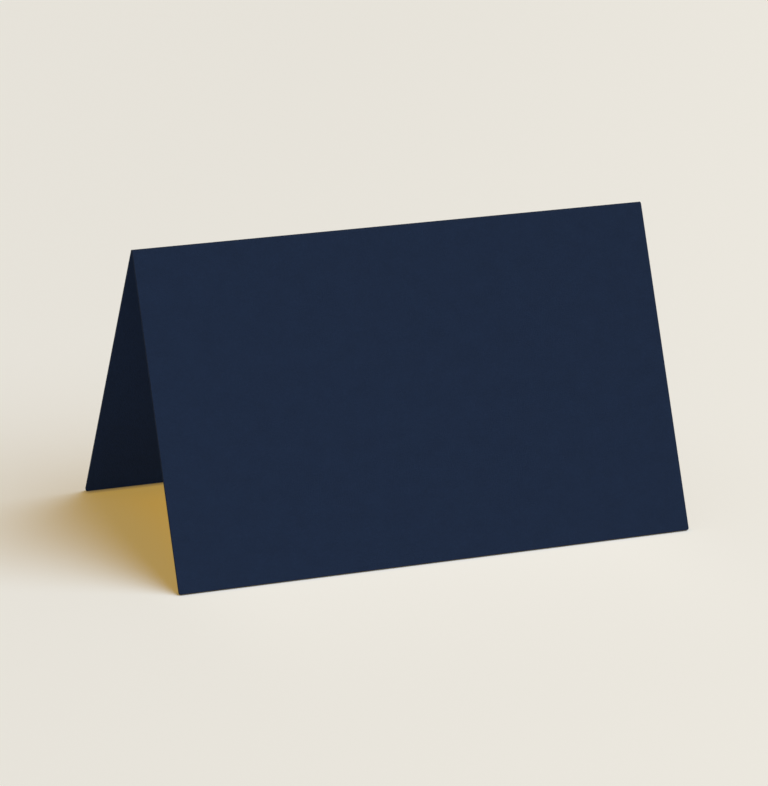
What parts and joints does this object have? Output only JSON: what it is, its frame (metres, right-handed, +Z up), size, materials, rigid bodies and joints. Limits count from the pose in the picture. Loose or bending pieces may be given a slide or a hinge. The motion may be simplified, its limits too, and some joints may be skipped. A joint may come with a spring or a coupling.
{
  "type": "place card",
  "caption": "Blank place card: a plain navy sheet of card stock folded once along its middle, standing as a tent with a wide front flap for a name.",
  "frame": {"origin": "on the table, midway between the feet of the two flaps and midway along the fold", "axes": "+X along the fold, -Y towards the side that the front flap faces, +Z up"},
  "size_m": [0.089, 0.0486, 0.0497],
  "materials": {
    "card_stock": "uncoated, dyed-through navy card stock with a fine fibre tooth, matt on both faces and on the cut edges"
  },
  "bodies": {
    "root": {"folded_card": "card_stock"}
  },
  "joints": []
}
